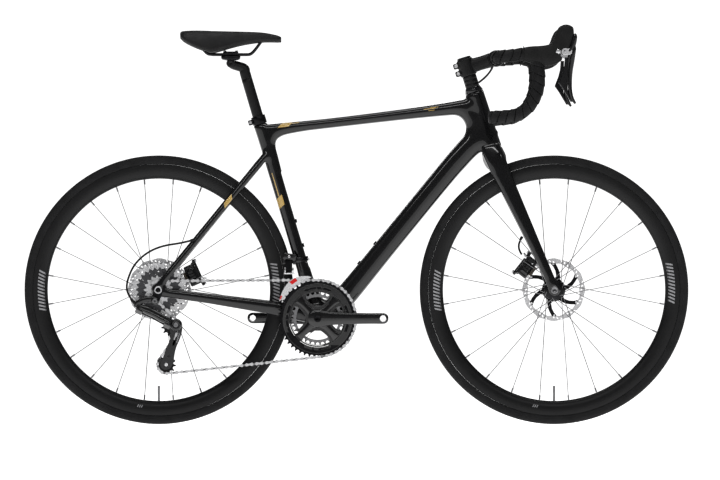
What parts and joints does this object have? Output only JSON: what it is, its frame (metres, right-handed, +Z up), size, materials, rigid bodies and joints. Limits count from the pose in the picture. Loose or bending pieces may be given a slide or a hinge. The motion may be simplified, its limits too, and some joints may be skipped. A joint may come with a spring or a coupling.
{
  "type": "road bicycle",
  "caption": "Drop-bar road bicycle with a moulded frame, disc brakes, deep rims, double crankset, front and rear derailleurs and a padded saddle.",
  "frame": {"origin": "on the ground, midway between the two axles in the bicycle's centre plane", "axes": "+X forward, +Y to the rider's left, +Z up; the drive side is -Y"},
  "size_m": [1.68, 0.4606, 1.0059],
  "materials": {
    "black_anodised": "black anodised",
    "cover": "matte synthetic leather over foam",
    "gloss_black": "clearcoated gloss black paint over carbon",
    "grey_anodised": "dark grey anodised",
    "hood_rubber": "matte moulded rubber",
    "pad_lining": "friction lining on a steel back plate",
    "plastic": "matte black plastic",
    "satin_black": "satin black",
    "silver": "bright nickel plated",
    "steel": "stainless steel",
    "tape": "matte cushioned wrap",
    "tyre_rubber": "matte tyre rubber"
  },
  "bodies": {
    "frame": {"main_frame": "gloss_black", "rear_triangle": "gloss_black", "derailleur_hanger": "black_anodised", "bottom_bracket": "grey_anodised", "headset_bearings": "steel", "seat_clamp_collar": "black_anodised", "frame_bolts": "silver", "rear_thru_axle": "steel", "rear_caliper": "black_anodised", "fd_body": "black_anodised", "chain": "silver", "shift_housing": "plastic"},
    "steering": {"fork": "gloss_black", "headset_spacers": "black_anodised", "stem": "satin_black", "handlebar": "satin_black", "bar_tape": "tape", "lever_hoods": "hood_rubber", "steering_fasteners": "silver", "front_caliper": "black_anodised", "brake_hoses": "plastic"},
    "front_wheel": {"front_tyre": "tyre_rubber", "front_rim": "satin_black", "front_spokes": "steel", "front_hub": "black_anodised", "front_rotor": "steel"},
    "rear_wheel": {"rear_tyre": "tyre_rubber", "rear_rim": "satin_black", "rear_spokes": "steel", "rear_hub": "black_anodised", "rear_rotor": "steel"},
    "cassette": {"cassette": "silver"},
    "crankset": {"crank_arm_right": "black_anodised", "chainring_large": "grey_anodised", "chainring_small": "black_anodised", "crank_arm_left": "black_anodised"},
    "rd_b_knuckle": {"rd_b_knuckle": "black_anodised"},
    "rd_outer_link": {"rd_outer_link": "black_anodised"},
    "rd_inner_link": {"rd_inner_link": "black_anodised"},
    "rd_p_knuckle": {"rd_p_knuckle": "black_anodised"},
    "rd_cage": {"rd_cage": "black_anodised"},
    "rd_pulley_upper": {"rd_pulley_upper": "plastic"},
    "rd_pulley_lower": {"rd_pulley_lower": "plastic"},
    "fd_link": {"fd_link": "black_anodised"},
    "fd_cage": {"fd_cage": "silver"},
    "lever_carrier_right": {"lever_carrier_right": "black_anodised"},
    "lever_carrier_left": {"lever_carrier_left": "black_anodised"},
    "brake_blade_right": {"brake_blade_right": "black_anodised"},
    "brake_blade_left": {"brake_blade_left": "black_anodised"},
    "shift_paddle_right": {"shift_paddle_right": "black_anodised"},
    "shift_paddle_left": {"shift_paddle_left": "black_anodised"},
    "front_pad_inner": {"front_pad_inner": "pad_lining"},
    "front_pad_outer": {"front_pad_outer": "pad_lining"},
    "rear_pad_inner": {"rear_pad_inner": "pad_lining"},
    "rear_pad_outer": {"rear_pad_outer": "pad_lining"},
    "seatpost": {"seatpost": "black_anodised"},
    "saddle_clamp": {"saddle_clamp": "black_anodised"},
    "saddle": {"saddle_rails": "steel", "saddle_shell": "plastic", "saddle_pad": "cover"}
  },
  "joints": [
    {"name": "steering", "type": "hinge", "parent": "frame", "child": "steering", "pos_m": [0.34232, 0, 0.695], "axis": [-0.2924, 0, 0.9563], "range_deg": [-60, 60]},
    {"name": "front_wheel_spin", "type": "hinge", "parent": "steering", "child": "front_wheel", "pos_m": [0.5, 0, 0.34], "axis": [0, 1, 0], "continuous": true},
    {"name": "rear_wheel_spin", "type": "hinge", "parent": "frame", "child": "rear_wheel", "pos_m": [-0.5, 0, 0.34], "axis": [0, 1, 0], "continuous": true},
    {"name": "crank_spin", "type": "hinge", "parent": "frame", "child": "crankset", "pos_m": [-0.098, 0, 0.268], "axis": [0, 1, 0], "continuous": true, "deforming": ["chain"]},
    {"name": "cassette_spin", "type": "hinge", "parent": "frame", "child": "cassette", "pos_m": [-0.5, 0, 0.34], "axis": [0, 1, 0], "continuous": true},
    {"name": "rd_b_pivot", "type": "hinge", "parent": "frame", "child": "rd_b_knuckle", "pos_m": [-0.508, -0.085, 0.312], "axis": [0, 1, 0], "range_deg": [-4, 10], "deforming": ["shift_housing"]},
    {"name": "rd_shift", "type": "hinge", "parent": "rd_b_knuckle", "child": "rd_outer_link", "pos_m": [-0.53968, -0.08924, 0.2926], "axis": [0.3958, 0.4859, 0.7793], "range_deg": [0, 36], "stiffness_Nm_per_rad": 1.2, "springref_deg": -20.05},
    {"name": "rd_inner_pivot", "type": "hinge", "parent": "rd_b_knuckle", "child": "rd_inner_link", "pos_m": [-0.54232, -0.07876, 0.2874], "axis": [0.3958, 0.4859, 0.7793], "range_deg": [0, 38]},
    {"name": "rd_outer_pivot", "type": "hinge", "parent": "rd_outer_link", "child": "rd_p_knuckle", "pos_m": [-0.47668, -0.08924, 0.2606], "axis": [0.3958, 0.4859, 0.7793], "range_deg": [-38, 0]},
    {"name": "rd_cage_pivot", "type": "hinge", "parent": "rd_p_knuckle", "child": "rd_cage", "pos_m": [-0.455, -0.08, 0.252], "axis": [0, -1, 0], "range_deg": [-18, 30], "stiffness_Nm_per_rad": 0.8},
    {"name": "upper_pulley_spin", "type": "hinge", "parent": "rd_cage", "child": "rd_pulley_upper", "pos_m": [-0.468, -0.062, 0.248], "axis": [0, 1, 0], "continuous": true},
    {"name": "lower_pulley_spin", "type": "hinge", "parent": "rd_cage", "child": "rd_pulley_lower", "pos_m": [-0.47984, -0.062, 0.15142], "axis": [0, 1, 0], "continuous": true},
    {"name": "fd_shift", "type": "hinge", "parent": "frame", "child": "fd_link", "pos_m": [-0.17, -0.04, 0.412], "axis": [1, 0, 0], "range_deg": [0, 18]},
    {"name": "fd_cage_pivot", "type": "hinge", "parent": "fd_link", "child": "fd_cage", "pos_m": [-0.17, -0.044, 0.392], "axis": [1, 0, 0], "range_deg": [-18, 0]},
    {"name": "brake_pull_right", "type": "hinge", "parent": "steering", "child": "lever_carrier_right", "pos_m": [0.522, -0.205, 0.938], "axis": [0, 1, 0], "range_deg": [0, 20], "stiffness_Nm_per_rad": 1.2, "springref_deg": -8.59},
    {"name": "blade_swing_right", "type": "hinge", "parent": "lever_carrier_right", "child": "brake_blade_right", "pos_m": [0.536, -0.205, 0.938], "axis": [1, 0, 0], "range_deg": [0, 14], "stiffness_Nm_per_rad": 0.5, "springref_deg": -5.73},
    {"name": "paddle_swing_right", "type": "hinge", "parent": "brake_blade_right", "child": "shift_paddle_right", "pos_m": [0.528, -0.205, 0.925], "axis": [1, 0, 0], "range_deg": [0, 16], "stiffness_Nm_per_rad": 0.2, "springref_deg": -5.73},
    {"name": "brake_pull_left", "type": "hinge", "parent": "steering", "child": "lever_carrier_left", "pos_m": [0.522, 0.205, 0.938], "axis": [0, 1, 0], "range_deg": [0, 20], "stiffness_Nm_per_rad": 1.2, "springref_deg": -8.59},
    {"name": "blade_swing_left", "type": "hinge", "parent": "lever_carrier_left", "child": "brake_blade_left", "pos_m": [0.536, 0.205, 0.938], "axis": [-1, 0, 0], "range_deg": [0, 14], "stiffness_Nm_per_rad": 0.5, "springref_deg": -5.73},
    {"name": "paddle_swing_left", "type": "hinge", "parent": "brake_blade_left", "child": "shift_paddle_left", "pos_m": [0.528, 0.205, 0.925], "axis": [-1, 0, 0], "range_deg": [0, 16], "stiffness_Nm_per_rad": 0.2, "springref_deg": -5.73},
    {"name": "front_pad_inner_slide", "type": "slide", "parent": "steering", "child": "front_pad_inner", "axis": [0, 1, 0], "range_m": [0, 0.0004]},
    {"name": "front_pad_outer_slide", "type": "slide", "parent": "steering", "child": "front_pad_outer", "axis": [0, -1, 0], "range_m": [0, 0.0004]},
    {"name": "rear_pad_inner_slide", "type": "slide", "parent": "frame", "child": "rear_pad_inner", "axis": [0, 1, 0], "range_m": [0, 0.0004]},
    {"name": "rear_pad_outer_slide", "type": "slide", "parent": "frame", "child": "rear_pad_outer", "axis": [0, -1, 0], "range_m": [0, 0.0004]},
    {"name": "seatpost_height", "type": "slide", "parent": "frame", "child": "seatpost", "axis": [-0.284, 0, 0.9588], "range_m": [-0.07, 0.03]},
    {"name": "saddle_tilt", "type": "hinge", "parent": "seatpost", "child": "saddle_clamp", "pos_m": [-0.318, 0, 0.913], "axis": [0, 1, 0], "range_deg": [-6, 6]},
    {"name": "saddle_setback", "type": "slide", "parent": "saddle_clamp", "child": "saddle", "axis": [1, 0, 0], "range_m": [-0.014, 0.014]}
  ],
  "couplings": [
    {"joint": "cassette_spin", "follows": "crank_spin", "ratio": 4.3636},
    {"joint": "upper_pulley_spin", "follows": "crank_spin", "ratio": -4.3636},
    {"joint": "lower_pulley_spin", "follows": "crank_spin", "ratio": 4.3636},
    {"joint": "rd_inner_pivot", "follows": "rd_shift", "ratio": 1},
    {"joint": "rd_outer_pivot", "follows": "rd_shift", "ratio": -1},
    {"joint": "fd_cage_pivot", "follows": "fd_shift", "ratio": -1},
    {"joint": "front_pad_inner_slide", "follows": "brake_pull_left", "m_per_rad": 0.0010886},
    {"joint": "front_pad_outer_slide", "follows": "brake_pull_left", "m_per_rad": 0.0010886},
    {"joint": "rear_pad_inner_slide", "follows": "brake_pull_right", "m_per_rad": 0.0010886},
    {"joint": "rear_pad_outer_slide", "follows": "brake_pull_right", "m_per_rad": 0.0010886}
  ]
}
